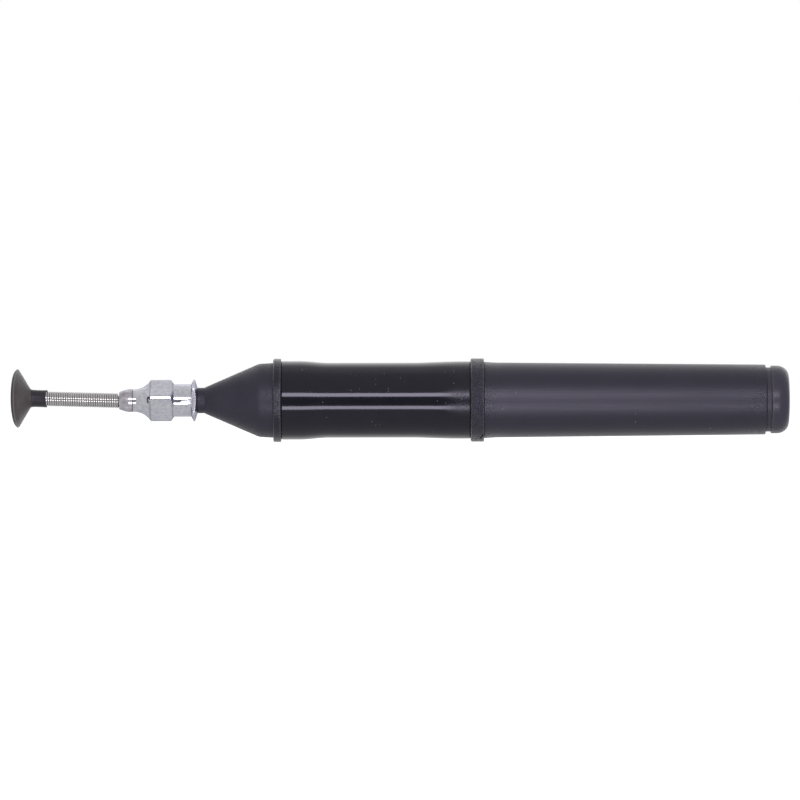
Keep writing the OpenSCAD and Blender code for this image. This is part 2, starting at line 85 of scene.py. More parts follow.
# %% [markdown]
# Most of the pen is turned or moulded round. A lathe makes a solid from a profile, and so does
# this: a circle at the outline's first point is extruded to each next point and scaled to its
# radius. Where the outline closes on itself the last ring is bridged to the first; where it ends on
# the axis both ends are discs. The Screw modifier could do this too, but extruded rings are clean
# loops that could bend.

# %% A lathe made of extrude and resize
WELD = 1e-7  # metres; nearer points become one
SHARP = 35  # degrees; sharper edges stay sharp


def select_only(piece):
    """Nothing but this piece is selected and active."""
    bpy.ops.object.select_all(action="DESELECT")
    piece.select_set(True)
    bpy.context.view_layer.objects.active = piece


def settle(piece):
    """The piece's place goes into its mesh, and its object stays at the origin."""
    select_only(piece)
    bpy.ops.object.transform_apply(location=True, rotation=True, scale=True)
    return piece


def tidy_normals():
    """In edit mode: merges doubles, then turns every face outwards."""
    bpy.ops.mesh.select_all(action="SELECT")
    bpy.ops.mesh.remove_doubles(threshold=WELD)
    bpy.ops.mesh.normals_make_consistent(inside=False)


def smooth(piece, sharp=SHARP):
    """Shades the piece smooth, apart from its sharp edges."""
    select_only(piece)
    bpy.ops.object.shade_smooth_by_angle(angle=math.radians(sharp))


def turned(name, outline, sides=128):
    """A solid of revolution about +X through the origin, from (x, radius) points in millimetres.
    An outline that starts and ends at the axis makes a solid; any other is closed to a ring."""
    solid = outline[0][1] == 0
    points = outline[1:-1] if solid else outline
    bpy.ops.mesh.primitive_circle_add(
        vertices=sides, radius=points[0][1] * MM, location=(points[0][0] * MM, 0, 0),
        rotation=(0, math.pi / 2, 0))
    piece = bpy.context.object
    piece.name = piece.data.name = name
    settle(piece)
    bpy.ops.object.mode_set(mode="EDIT")
    bpy.ops.mesh.select_all(action="SELECT")
    if solid:
        bpy.ops.mesh.edge_face_add()
    for (x0, r0), (x1, r1) in zip(points, points[1:]):
        bpy.ops.mesh.extrude_region_move(
            TRANSFORM_OT_translate={"value": ((x1 - x0) * MM, 0, 0)})
        bpy.ops.transform.resize(value=(1, r1 / r0, r1 / r0), center_override=(x1 * MM, 0, 0))
    if not solid:
        bpy.ops.mesh.select_all(action="DESELECT")
        bpy.ops.mesh.select_mode(type="EDGE")
        bpy.ops.mesh.select_non_manifold()
        bpy.ops.mesh.bridge_edge_loops()
        bpy.ops.mesh.select_mode(type="VERT")
    tidy_normals()
    bpy.ops.object.mode_set(mode="OBJECT")
    smooth(piece)
    return piece


# %% [markdown]
# A moulded or turned edge carries a small round, and that round is what catches the light. Each
# corner of an outline can name how far back its round starts, and a short curve takes its place.

# %% Round the corners of an outline
def rounded(outline, steps=4):
    """Points (x, r) stay; points (x, r, size) become a curve that starts and ends size away."""
    result = []
    for i, point in enumerate(outline):
        if len(point) == 2:
            result.append(point)
            continue
        corner = Vector(point[:2])
        before = Vector(outline[i - 1][:2])
        after = Vector(outline[(i + 1) % len(outline)][:2])
        a = corner + (before - corner).normalized() * point[2]
        b = corner + (after - corner).normalized() * point[2]
        for k in range(steps + 1):
            t = k / steps
            result.append(tuple(a * (1 - t) ** 2 + corner * 2 * t * (1 - t) + b * t ** 2))
    return result


def on_axis(piece):
    """Lifts a turned piece from the origin to the pen's axis."""
    piece.location = AXIS
    return settle(piece)


# %% [markdown]
# The nose is a moulded cone with a male taper at its small end, which the hub hides, and a straight
# part before the collar. A cone primitive has one slope only, so the lathe turns the outline.

# %% Turn the nose
nose_straight, nose_cone_len, nose_round = 2.7, 10.2, 0.5
nose_rear_r, nose_front_r, nose_small_r = 7.05, 6.9, 2.475
shoulder_r, shoulder_len, shoulder_step = 2.4, 1.4, 0.05
taper_r, taper_small_r, airway_r, socket_r, socket_depth = 2.14, 1.948, 1.0, 5.1, 4.05
cone_x = collar_x - nose_straight
shoulder_x = cone_x - nose_cone_len
joint_gap = 0.03
nose_rear = collar_x - joint_gap
nose = on_axis(turned("nose", rounded([
    (nose_x, airway_r), (nose_x, taper_small_r, 0.15), (shoulder_x - shoulder_len, taper_r),
    (shoulder_x - shoulder_len + shoulder_step, shoulder_r, 0.03), (shoulder_x, shoulder_r, 0.05),
    (shoulder_x, nose_small_r, 0.03), (cone_x, nose_front_r, nose_round),
    (nose_rear, nose_rear_r, 0.06), (nose_rear, socket_r, 0.1),
    (nose_end - socket_depth, socket_r), (nose_end - socket_depth, airway_r)]), sides=144))
print("nose", len(nose.data.polygons), "faces")

# %% [markdown]
# Two collars clamp the sleeve: plain rings with a chamfer on the front edge. The rear one has a
# nick where it was cut from its runner, a small slanted block that a Boolean takes away.

# %% Turn the collars and cut the nick
collar_r, collar_bore_r, collar_chamfer = 7.85, 6.0, 0.2


def collar(name, start, end):
    """A ring with a chamfer on its front edge."""
    return on_axis(turned(name, rounded([
        (start, collar_bore_r), (start, collar_r - collar_chamfer, 0.06),
        (start + collar_chamfer, collar_r, 0.08), (end, collar_r, 0.07),
        (end, collar_bore_r, 0.05)]), sides=160))


def apply_modifier(piece, kind, **settings):
    """Adds a modifier with these settings and applies it."""
    select_only(piece)
    modifier = piece.modifiers.new(kind, kind)
    for key, value in settings.items():
        setattr(modifier, key, value)
    bpy.ops.object.modifier_apply(modifier=modifier.name)


def cut_away(piece, cutter, operation="DIFFERENCE"):
    """Applies a Boolean with the cutter, and removes the cutter."""
    apply_modifier(piece, "BOOLEAN", operation=operation, solver="EXACT", object=cutter)
    bpy.data.objects.remove(cutter)


front_ring = collar("front_ring", collar_x, sleeve_x - joint_gap)
rear_ring = collar("rear_ring", rear_collar_x, rear_collar_end)
nick_w, nick_len, nick_depth, nick_inset = 0.3, 1.8, 0.35, 0.45
nick_turn, nick_slant = math.radians(62), math.radians(15)
bpy.ops.mesh.primitive_cube_add(size=1)
nick = bpy.context.object
nick.matrix_world = (
    Matrix.Translation(AXIS + Vector(((rear_collar_end - nick_inset) * MM, 0, 0)))
    @ Matrix.Rotation(nick_turn, 4, "X") @ Matrix.Translation((0, -collar_r * MM, 0))
    @ Matrix.Rotation(nick_slant, 4, "Y")
    @ Matrix.Diagonal((nick_w * MM, 2 * nick_depth * MM, nick_len * MM, 1)))
settle(nick)
cut_away(rear_ring, nick)
smooth(rear_ring)
print("rear collar", len(rear_ring.data.polygons), "faces after the cut")

# %% [markdown]
# The squeeze sleeve is one rubber moulding with a cuff at each end and a waist between them. To
# bend under a thumb it needs a ring of points every millimetre or less, inside and outside.

# %% Turn the whole sleeve
front_cuff_r, waist_r, rear_cuff_r, sleeve_bore_r = 7.425, 7.075, 7.275, 5.5
front_cuff_len, front_taper_len, rear_taper_len, rear_cuff_len = 3.4, 5.7, 7.5, 3.6
sleeve_mid = (sleeve_x + sleeve_end) / 2
sleeve_rings, end_inset = 52, 0.45


def sleeve_radius(x):
    """Outer radius of the sleeve: cuff, eased taper, waist, eased taper, cuff."""
    def ease(a, b, t):
        t = min(max(t, 0), 1)
        return a + (b - a) * (1 - math.cos(math.pi * t)) / 2
    if x < sleeve_mid:
        return ease(front_cuff_r, waist_r, (x - sleeve_x - front_cuff_len) / front_taper_len)
    return ease(rear_cuff_r, waist_r, (sleeve_end - rear_cuff_len - x) / rear_taper_len)


stations = [sleeve_x + end_inset + (sleeve_end - sleeve_x - 2 * end_inset) * i / sleeve_rings
            for i in range(sleeve_rings + 1)]
sleeve_outline = rounded(
    [(sleeve_x, sleeve_bore_r, 0.1), (sleeve_x, front_cuff_r, 0.3)]
    + [(x, sleeve_radius(x)) for x in stations]
    + [(sleeve_end, rear_cuff_r, 0.3), (sleeve_end, sleeve_bore_r, 0.1)]
    + [(x, sleeve_bore_r) for x in reversed(stations)])
whole_sleeve = on_axis(turned("whole_sleeve", sleeve_outline, sides=192))
print("whole sleeve", len(whole_sleeve.data.vertices), "points")

# %% [markdown]
# Thumb and finger press the sleeve's top and bottom in at once. A piece can bend between two bodies
# only, so the sleeve is cut into quarters. Bisect cuts a copy and closes the cut. Each side would
# shade by itself and show a line in the gloss, so the whole sleeve's normals are brought back.

# %% A quarter of the sleeve
def quarter(name, along, up):
    """The quarter on the side that along (-1 or 1) and up (-1 or 1) say."""
    piece = whole_sleeve.copy()
    piece.data = whole_sleeve.data.copy()
    piece.name = piece.data.name = name
    bpy.context.collection.objects.link(piece)
    select_only(piece)
    bpy.ops.object.mode_set(mode="EDIT")
    for point, normal in (((sleeve_mid * MM, 0, AXIS.z), (-along, 0, 0)), (AXIS, (0, 0, -up))):
        bpy.ops.mesh.select_all(action="SELECT")
        bpy.ops.mesh.bisect(plane_co=point, plane_no=normal, use_fill=True, clear_outer=True,
                            threshold=WELD)
    bpy.ops.object.mode_set(mode="OBJECT")
    apply_modifier(piece, "DATA_TRANSFER", object=whole_sleeve, use_loop_data=True,
                   data_types_loops={"CUSTOM_NORMAL"}, loop_mapping="NEAREST_POLYNOR")
    return piece


# %% [markdown]
# A pressed wall sinks deepest at its middle. Here each quarter is only baked where it lies, and the
# frame's sleeve and its squeeze walls are hidden.

# %% Cut the sleeve into quarters
sleeve_quarters = []
for up, wall in ((1, "upper_wall"), (-1, "lower_wall")):
    for along, end_name in ((-1, "front"), (1, "rear")):
        piece = quarter(f"sleeve_{end_name}_{wall}", along, up)
        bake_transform(piece)
        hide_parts("squeeze_sleeve", wall.replace("_wall", "_squeeze_wall"))
        sleeve_quarters.append(piece)
bpy.data.objects.remove(whole_sleeve)
print("quarters", [len(p.data.vertices) for p in sleeve_quarters])

# %% [markdown]
# The barrel is a hollow tapered moulding with a slight flare at its front rim and a crisp rear
# edge. Spare cups are kept in it, so its bore is real.

# %% Turn the barrel
rim_r, barrel_front_r, barrel_rear_r, barrel_bore_r = 7.225, 7.05, 6.6, 5.6
rim_len, rim_steps = 3.5, 10
rim = [(barrel_x + rim_len * i / rim_steps,
        barrel_front_r + (rim_r - barrel_front_r) * (1 - i / rim_steps) ** 2)
       for i in range(1, rim_steps + 1)]
barrel = on_axis(turned("barrel", rounded(
    [(barrel_x, barrel_bore_r, 0.15), (barrel_x, rim_r, 0.12)] + rim
    + [(barrel_end, barrel_rear_r, 0.14), (barrel_end, barrel_bore_r, 0.1)]), sides=160))
print("barrel", len(barrel.data.polygons), "faces")

# %% [markdown]
# The end plug has a spigot in the barrel and a thin gasket under its head. The head's edge is a
# quarter of an ellipse, sampled finely so that the light on it stays smooth.

# %% Turn the plug and its gasket
plug_r, plug_round_w, plug_round_len, edge_steps = 6.4, 1.9, 2.3, 20
spigot_r, plug_neck_r, neck_depth = 5.55, 4.95, 0.5
head_gap, rear_inset = 0.05, 0.02
head_x = gasket_end + head_gap
plug_rear = plug_end - rear_inset
plug_edge = [(plug_rear - plug_round_len * (1 - math.sin(math.pi / 2 * i / edge_steps)),
              plug_r - plug_round_w * (1 - math.cos(math.pi / 2 * i / edge_steps)))
             for i in range(edge_steps + 1)]
plug = on_axis(turned("plug", rounded(
    [(plug_x, 0), (plug_x, spigot_r, 0.2), (barrel_end - neck_depth, spigot_r, 0.1),
     (barrel_end - neck_depth, plug_neck_r), (head_x, plug_neck_r), (head_x, plug_r, 0.12)]
    + plug_edge + [(plug_rear, 0)]), sides=144))
gasket_r, gasket_bore_r = 6.06, 5.0
gasket = on_axis(turned("gasket", rounded(
    [(gasket_x, gasket_bore_r), (gasket_x, gasket_r, 0.12), (gasket_end, gasket_r, 0.12),
     (gasket_end, gasket_bore_r)]), sides=128))
print("plug", len(plug.data.polygons), "faces; gasket", len(gasket.data.polygons))

# %% [markdown]
# The hub is turned from brass and plated. It has a flare, a square grip whose corners are still
# the turned round, and two pointed lugs that lock under a socket's thread. It is made the way it
# is made in metal: the outline is turned first, and then only what a square bar shares with it is
# kept, which leaves the arcs where each flat meets a cone.

# %% Turn the hub and square its grip
hub_neck_r, flare_r, hub_round_r, corner_r = 2.1, 3.8, 3.03, 3.89
grip_len, grip_chamfer, round_len, lug_len, neck_len = 3.8, 0.6, 3.2, 1.2, 0.15
grip_flats, grip_turn = 6.1, math.radians(35)
into_lugs, bar_spare = 0.1, 2
lug_x = hub_end - lug_len
grip_rear_x = lug_x - round_len
grip_x = grip_rear_x - grip_chamfer - grip_len
flare_turn = math.acos(1 - (corner_r - hub_neck_r) / flare_r)
flare_steps = 14
flare = [(hub_x + neck_len + flare_r * math.sin(flare_turn * i / flare_steps),
          hub_neck_r + flare_r * (1 - math.cos(flare_turn * i / flare_steps)))
         for i in range(flare_steps + 1)]
hub = turned("hub", rounded(
    [(hub_x, 0), (hub_x, hub_neck_r, 0.06)] + flare[:-1]
    + [(grip_x, corner_r, 0.12), (grip_rear_x - grip_chamfer, corner_r, 0.12),
       (grip_rear_x, hub_round_r, 0.08), (lug_x + into_lugs, hub_round_r),
       (lug_x + into_lugs, 0)]), sides=144)


def block(centre_x, size, turn=0):
    """A box on the axis: its middle along X, its three sides, and its turn about the axis."""
    bpy.ops.mesh.primitive_cube_add(size=1, location=(centre_x * MM, 0, 0), rotation=(turn, 0, 0))
    box = bpy.context.object
    box.scale = [s * MM for s in size]
    return settle(box)


bar = block((hub_x + hub_end) / 2, (hub_end - hub_x + bar_spare, grip_flats, grip_flats), grip_turn)
cut_away(hub, bar, "INTERSECT")
print("squared hub", len(hub.data.polygons), "faces")

# %% [markdown]
# The lugs are a thin sharp disc, cut flat on two sides. The disc is turned, a block keeps its
# middle, and a union joins it to the hub. A short root reaches into the hub, because a union of
# faces that only touch can fail.

# %% Add the lugs
lug_tip_r, lug_tip_len, lug_flats, mouth_r, mouth_wall = 3.915, 0.25, 6.3, 2.17, 0.25
root_len, root_r, block_len, block_height = 0.4, hub_round_r - 0.02, 4, 10
lug_mid = (lug_x + hub_end) / 2
lugs = turned("lugs", rounded([
    (lug_x - root_len, 0), (lug_x - root_len, root_r), (lug_x, root_r),
    (lug_mid - lug_tip_len / 2, lug_tip_r, 0.06), (lug_mid + lug_tip_len / 2, lug_tip_r, 0.06),
    (hub_end, mouth_r + mouth_wall, 0.05), (hub_end, 0)]), sides=144)
cut_away(lugs, block(lug_mid, (block_len, lug_flats, block_height)), "INTERSECT")
cut_away(hub, lugs, "UNION")
print("lugs added,", len(hub.data.polygons), "faces")

# %% [markdown]
# A tapered bore takes the nose's tip from behind, and a plain hole the bead's spigot from the
# front. Each cutter runs past the hub's end, so that no thin skin stays over a hole. A small bevel
# then breaks the sharp edges, as plating does.

# %% Bore the hub and soften its edges
bore_depth, bore_narrowing, hole_to, spigot_hole_r, past_end = 6.6, 0.2, 6, 1.5, 1
hub_sharp, bevel_w = 32, 0.05
bore = turned("bore", [
    (hub_end - bore_depth, 0), (hub_end - bore_depth, mouth_r - bore_narrowing),
    (hub_end + 0.01, mouth_r), (hub_end + past_end, mouth_r), (hub_end + past_end, 0)], sides=96)
cut_away(hub, bore)
spigot_hole = turned("spigot_hole", [
    (hub_x - past_end, 0), (hub_x - past_end, spigot_hole_r), (hub_end - hole_to, spigot_hole_r),
    (hub_end - hole_to, 0)], sides=64)
cut_away(hub, spigot_hole)
apply_modifier(hub, "BEVEL", limit_method="ANGLE", angle_limit=math.radians(hub_sharp),
               width=bevel_w * MM, segments=2)
smooth(hub, hub_sharp)
on_axis(hub)
print("hub", len(hub.data.polygons), "faces")

# %% [markdown]
# A crimped bead of soft metal grips the coil, and a thin groove parts it from the hub's neck. Its
# front is a quarter of a sine wave, which starts steep and ends level, as a pressed edge does.

# %% Turn the crimp bead
bead_mouth_r, bead_r, bead_round_len, bead_spigot_r = 1.6, 2.14, 2.2, 1.46
bead_steps, coil_clear_r, liner_clear_r, coil_seat = 14, 1.4, 0.92, 1.5
groove = 0.04
bead = []
for i in range(bead_steps + 1):
    t = i / bead_steps
    bead.append((ferrule_x + bead_round_len * t,
                 bead_mouth_r + (bead_r - bead_mouth_r) * math.sin(math.pi / 2 * t)))
crimp = on_axis(turned("crimp_bead", rounded(
    [(ferrule_x, coil_clear_r, 0.03)] + bead
    + [(hub_x - groove, bead_r, 0.14), (hub_x - groove, bead_spigot_r),
       (ferrule_end, bead_spigot_r, 0.1), (ferrule_end, liner_clear_r),
       (ferrule_x + coil_seat, liner_clear_r), (ferrule_x + coil_seat, coil_clear_r)]), sides=112))
print("crimp bead", len(crimp.data.polygons), "faces")

# %% [markdown]
# The neck is a close-wound coil of steel wire over a thin liner. A texture of lines would look
# flat, so the wire is real: a small circle, swept round the axis by the Screw modifier, one pitch
# to each turn. The coil leans up a little towards the cup.

# %% Wind the coil
coil_len, coil_r, wire_r, coil_lean = 13.7, 1.37, 0.215, math.radians(1.6)
coil_turns, coil_pitch, steps_per_turn, wire_sides = 32, 0.432, 36, 14
coil_gap, end_turn = 0.02, math.radians(150)
coil_frame = (Matrix.Translation(AXIS + Vector((ferrule_x * MM, 0, 0)))
              @ Matrix.Rotation(coil_lean, 4, "Y"))
bpy.ops.mesh.primitive_circle_add(vertices=wire_sides, radius=wire_r * MM, fill_type="NGON",
                                  location=((coil_r - wire_r) * MM, 0, 0),
                                  rotation=(math.pi / 2, 0, 0))
coil = bpy.context.object
coil.name = coil.data.name = "neck_coil"
settle(coil)
apply_modifier(coil, "SCREW", axis="Z", angle=2 * math.pi, steps=steps_per_turn,
               render_steps=steps_per_turn, iterations=coil_turns,
               screw_offset=coil_pitch * MM, use_merge_vertices=False)
bpy.ops.object.shade_smooth()
coil.matrix_world = (coil_frame @ Matrix.Translation((-(wire_r + coil_gap) * MM, 0, 0))
                     @ Matrix.Rotation(-math.pi / 2, 4, "Y") @ Matrix.Rotation(end_turn, 4, "Z"))
settle(coil)
bpy.ops.object.mode_set(mode="EDIT")
tidy_normals()
bpy.ops.object.mode_set(mode="OBJECT")
print("coil", len(coil.data.polygons), "faces in", coil_turns, "turns")

# %% [markdown]
# The liner is the thin hose that keeps the air in. A plain tube would do if it stayed straight;
# this one has forty rings, so that it can bend with the coil.

# %% Put the liner in the coil
liner_r, liner_bore_r, liner_stations = 0.9, 0.5, 40
past_coil, past_seat = 1.15, 1.3
liner_front = -coil_len - past_coil
liner_rear = coil_seat + past_seat
liner_x = [liner_front + (liner_rear - liner_front) * i / liner_stations
           for i in range(liner_stations + 1)]
liner = turned("neck_liner", [(x, liner_r) for x in liner_x]
               + [(x, liner_bore_r) for x in reversed(liner_x)], sides=40)
liner.matrix_world = coil_frame
settle(liner)
print("liner", len(liner.data.vertices), "points")

# %% [markdown]
# The cup is a thin bell of soft rubber on a short stem, a little cocked away from the viewer. Its
# front edge is a rounded lip with a flat ring that seals on a chip. First come its sizes, and a
# curve that bends more freely than a rounded corner.

# %% The cup's sizes and a free curve
cup_cock, cup_droop = math.radians(7.5), math.radians(1.9)
tube_r, tube_bore_r, tube_len, stem_len = 1.65, 1.15, 2.8, 1.3
tube_waist_r, tube_mouth_r, tube_mouth_len = 1.6, 1.46, 0.9
cup_r, cup_neck, cup_cone, cup_wall = 5.55, 0.27, 2.45, 0.75
lip_len, lip_w, lip_land, fillet_w, hole_r = 0.43, 0.42, 0.4, 0.55, 0.5
edge_w, stem_gap, tube_steps = 0.12, 0.05, 12
cup_frame = (coil_frame @ Matrix.Translation((-coil_len * MM, 0, 0))
             @ Matrix.Rotation(-cup_cock, 4, "Z"))
tip_back = (Matrix.Translation((-tube_len * MM, 0, 0)) @ Matrix.Rotation(-cup_droop, 4, "Y")
            @ Matrix.Translation((tube_len * MM, 0, 0)))


def curve(start, corner, end, steps=10):
    """A curve that leaves one point towards a corner and bends round it to another."""
    a, b, c = Vector(start), Vector(corner), Vector(end)
    return [tuple(a * (1 - t) ** 2 + b * 2 * t * (1 - t) + c * t ** 2)
            for t in (i / steps for i in range(steps + 1))]


print("cup", 2 * cup_r, "mm wide")

# %% [markdown]
# The outline follows the wall from the stem out along the cone, round the lip and back inside.
# Before the cup is placed at the coil's end, each point keeps how far along the cup it lies, as an
# attribute called reach, so that the rim can get its pale line and its painted shade.

# %% Turn the cup
cone_start = tube_len + cup_neck
slope = cup_cone / (cup_r - tube_r)
edge_at = cone_start + cup_cone
lip_at = edge_at + lip_len
land_r = cup_r - lip_w
inside_r = land_r - lip_land * 1.5
floor_at = cone_start + cup_wall
cup_outline = (
    [(hole_r, tube_len - stem_len), (tube_bore_r - stem_gap, tube_len - stem_len),
     (tube_bore_r - stem_gap, tube_len)]
    + curve((tube_r, tube_len), (tube_r, cone_start),
            (tube_r + fillet_w, cone_start + fillet_w * slope))
    + curve((cup_r - edge_w, edge_at - edge_w * slope), (cup_r, edge_at),
            (cup_r - 0.05, edge_at + 0.07), 5)
    + curve((land_r + 0.1, lip_at - 0.09), (land_r, lip_at), (land_r - 0.1, lip_at), 4)
    + curve((land_r - lip_land, lip_at), (land_r - lip_land - 0.06, lip_at),
            (inside_r, floor_at + (inside_r - tube_r) * slope), 4)
    + [(tube_r, floor_at), (hole_r, floor_at)])
cup = turned("cup", [(-along, r) for r, along in cup_outline], sides=128)
reach = cup.data.attributes.new("reach", "FLOAT", "POINT")
for vertex, value in zip(cup.data.vertices, reach.data):
    value.value = -vertex.co.x / MM
cup.matrix_world = cup_frame @ tip_back
settle(cup)
print("cup", len(cup.data.polygons), "faces")

# %% [markdown]
# A cut piece of black hose joins the cup's stem to the coil. It is stretched over both, so its side
# is a little waisted. A fourth power keeps it level and lifts it only near the ends.

# %% Turn the cup's tube
tube_side = [(-tube_len * t, tube_waist_r + (tube_r - tube_waist_r) * (2 * t - 1) ** 4)
             for t in (0.1 + 0.8 * i / tube_steps for i in range(tube_steps + 1))]
cup_tube = turned("cup_tube", rounded(
    [(0, tube_mouth_r), (0, tube_r, 0.06)] + tube_side + [(-tube_len, tube_r, 0.05),
     (-tube_len, tube_bore_r), (-tube_mouth_len, tube_bore_r), (-tube_mouth_len, tube_mouth_r)]),
    sides=80)
cup_tube.matrix_world = cup_frame
settle(cup_tube)
print("cup tube", len(cup_tube.data.polygons), "faces")

# %% [markdown]
# Every piece rides on the body that carries it, and the frame node that it stands for is hidden;
# the table also lists the slot that its finish belongs to. The cup would swing away from a coil
# that rode on the nozzle, so the coil and its liner ride on no body and are baked where they lie.

# %% Tie the pieces to their bodies
for piece, body, node, slot in (
        (cup, "cup", "suction_cup", "cup_rubber"),
        (cup_tube, "cup_neck", "cup_sleeve", "black_rubber"),
        (crimp, "nozzle", "crimp_ferrule", "ferrule_metal"),
        (hub, "nozzle", "nozzle_hub", "hub_metal"),
        (nose, "pen", "nose_cone", "nose_plastic"),
        (front_ring, "pen", "front_collar", "front_collar_plastic"),
        (rear_ring, "pen", "rear_collar", "rear_collar_plastic"),
        (barrel, "pen", "rear_barrel", "barrel_plastic"),
        (gasket, "plug", "plug_gasket", "black_rubber"),
        (plug, "plug", "end_plug", "plug_plastic")):
    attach(piece, body)
    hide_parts(node)
for piece, node, slot in ((coil, "coil_sheath", "coil_wire"),
                          (liner, "airway_tube", "liner_plastic")):
    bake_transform(piece)
    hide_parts(node)

# %% [markdown]
# Now the finishes. Every material reads Object coordinates, which here are the pen's own metres,
# so a grain of 0.2 mm needs a noise scale near 5000. What several finishes share is a node group.

# %% Helpers that add nodes
def add(tree, kind, settings=None, **inputs):
    """Adds a node with these settings and inputs."""
    made = tree.nodes.new(kind)
    for key, value in (settings or {}).items():
        setattr(made, key, value)
    for key, value in inputs.items():
        put(tree, value, made.inputs[key.replace("_", " ")])
    return made


def put(tree, value, socket):
    """Links a socket to the socket, or sets any other value on it."""
    if isinstance(value, bpy.types.NodeSocket):
        tree.links.new(value, socket)
    else:
        socket.default_value = value


def calc(tree, operation, a, b=0.0, c=0.0):
    """A Math node, and its result."""
    made = tree.nodes.new("ShaderNodeMath")
    made.operation = operation
    for value, socket in zip((a, b, c), made.inputs):
        put(tree, value, socket)
    return made.outputs[0]


def spread(tree, value, from_low, from_high, to_low, to_high, smooth=False):
    """A Map Range node that clamps, and its result."""
    made = tree.nodes.new("ShaderNodeMapRange")
    made.interpolation_type = "SMOOTHSTEP" if smooth else "LINEAR"
    for number, socket in zip((value, from_low, from_high, to_low, to_high), made.inputs):
        put(tree, number, socket)
    return made.outputs[0]


def blend_colour(tree, factor, a, b):
    """A Mix node, whose sockets 6, 7 and output 2 are its colours."""
    made = tree.nodes.new("ShaderNodeMix")
    made.data_type = "RGBA"
    for value, place in ((factor, 0), (a, 6), (b, 7)):
        put(tree, value, made.inputs[place])
    return made.outputs[2]


def effect(name, inputs, outputs):
    """An empty node group with named sockets."""
    group = bpy.data.node_groups.new(name, "ShaderNodeTree")
    kinds = {"v": "NodeSocketVector", "f": "NodeSocketFloat", "c": "NodeSocketColor"}
    for direction, sockets in (("INPUT", inputs), ("OUTPUT", outputs)):
        for socket, kind in sockets.items():
            group.interface.new_socket(socket, in_out=direction, socket_type=kinds[kind])
    given = group.nodes.new("NodeGroupInput").outputs
    return group, given, group.nodes.new("NodeGroupOutput").inputs


# %% [markdown]
# A moulding is never one even colour: mottle moves it softly between two tones. Grain is the fine
# roughness that a mould's etched wall leaves.

# %% Mottle and grain
mottle, given, out = effect("mottle", {"Place": "v", "Scale": "f", "Dark": "c", "Light": "c"},
                            {"Color": "c"})
clouds = add(mottle, "ShaderNodeTexNoise", Vector=given["Place"], Scale=given["Scale"],
             Detail=4.0, Roughness=0.6)
mottle.links.new(blend_colour(mottle, spread(mottle, clouds.outputs[0], 0.3, 0.7, 0, 1),
                              given["Dark"], given["Light"]), out["Color"])

grain, given, out = effect("grain", {"Place": "v", "Scale": "f"}, {"Height": "f", "Mask": "f"})
pits = add(grain, "ShaderNodeTexNoise", Vector=given["Place"], Scale=given["Scale"],
           Detail=3.0, Roughness=0.65)
grain.links.new(pits.outputs[0], out["Height"])
grain.links.new(spread(grain, pits.outputs[0], 0.45, 0.6, 0, 1, smooth=True), out["Mask"])

# %% [markdown]
# Dust on rubber is a scatter of tiny light specks. Voronoi gives one random point to each cell, so
# a small distance from it is a speck, and the cell's random colour picks the few that carry one.

# %% Dust
dust, given, out = effect("dust", {"Place": "v", "Scale": "f", "Size": "f", "Share": "f"},
                          {"Mask": "f"})
cells = add(dust, "ShaderNodeTexVoronoi", Vector=given["Place"], Scale=given["Scale"])
picked = calc(dust, "LESS_THAN",
              add(dust, "ShaderNodeSeparateColor", Color=cells.outputs["Color"]).outputs[0],
              given["Share"])
speck = spread(dust, cells.outputs["Distance"], 0, given["Size"], 1, 0)
dust.links.new(calc(dust, "MULTIPLY", speck, picked), out["Mask"])

# %% [markdown]
# Handling draws fine streaks along the barrel, and a lathe leaves fine rings round a turned
# part. Both are a noise that is stretched: squeezed across for streaks, squeezed along for rings.

# %% Streaks and rings
streaks, given, out = effect("streaks", {"Place": "v", "Along": "f", "Across": "f"}, {"Mask": "f"})
stretch = add(streaks, "ShaderNodeCombineXYZ", X=given["Along"], Y=given["Across"],
              Z=given["Across"])
stretched = add(streaks, "ShaderNodeVectorMath", {"operation": "MULTIPLY"})
put(streaks, given["Place"], stretched.inputs[0])
put(streaks, stretch.outputs[0], stretched.inputs[1])
lines = add(streaks, "ShaderNodeTexNoise", Vector=stretched.outputs[0], Scale=1.0, Detail=3.0,
            Roughness=0.6)
streaks.links.new(spread(streaks, lines.outputs[0], 0.35, 0.65, 0, 1), out["Mask"])

# %% [markdown]
# A band is 1 at one place along the pen and falls to 0 over a given distance on both sides. Edges
# that rub against the hand or the neighbour are lightened with it.

# %% A band along the pen
band, given, out = effect("band", {"Place": "v", "Centre": "f", "Reach": "f"}, {"Mask": "f"})
along_pen = add(band, "ShaderNodeSeparateXYZ", Vector=given["Place"]).outputs[0]
away = calc(band, "ABSOLUTE", calc(band, "SUBTRACT", along_pen, given["Centre"]))
band.links.new(spread(band, away, 0, given["Reach"], 1, 0, smooth=True), out["Mask"])
print("groups:", [g.name for g in bpy.data.node_groups])

# %% [markdown]
# Every finish starts from the Principled shader. Its colour is mottled and dusted, a mask sets its
# roughness, and its grain becomes a bump, which tilts the light without moving the surface.

# %% Helpers that build a finish
def use(tree, group, **inputs):
    """Places a group in a material; its inputs are given by name."""
    made = tree.nodes.new("ShaderNodeGroup")
    made.node_tree = group
    for key, value in inputs.items():
        put(tree, value, made.inputs[key])
    return made.outputs


def finish(name, **sockets):
    """A material, its node tree, its Principled shader, and its Object coordinates."""
    material = bpy.data.materials.new(name)
    material.use_nodes = True
    tree = material.node_tree
    shader = tree.nodes["Principled BSDF"]
    for key, value in sockets.items():
        shader.inputs[key.replace("_", " ")].default_value = value
    place = tree.nodes.new("ShaderNodeTexCoord").outputs["Object"]
    return material, tree, shader, place


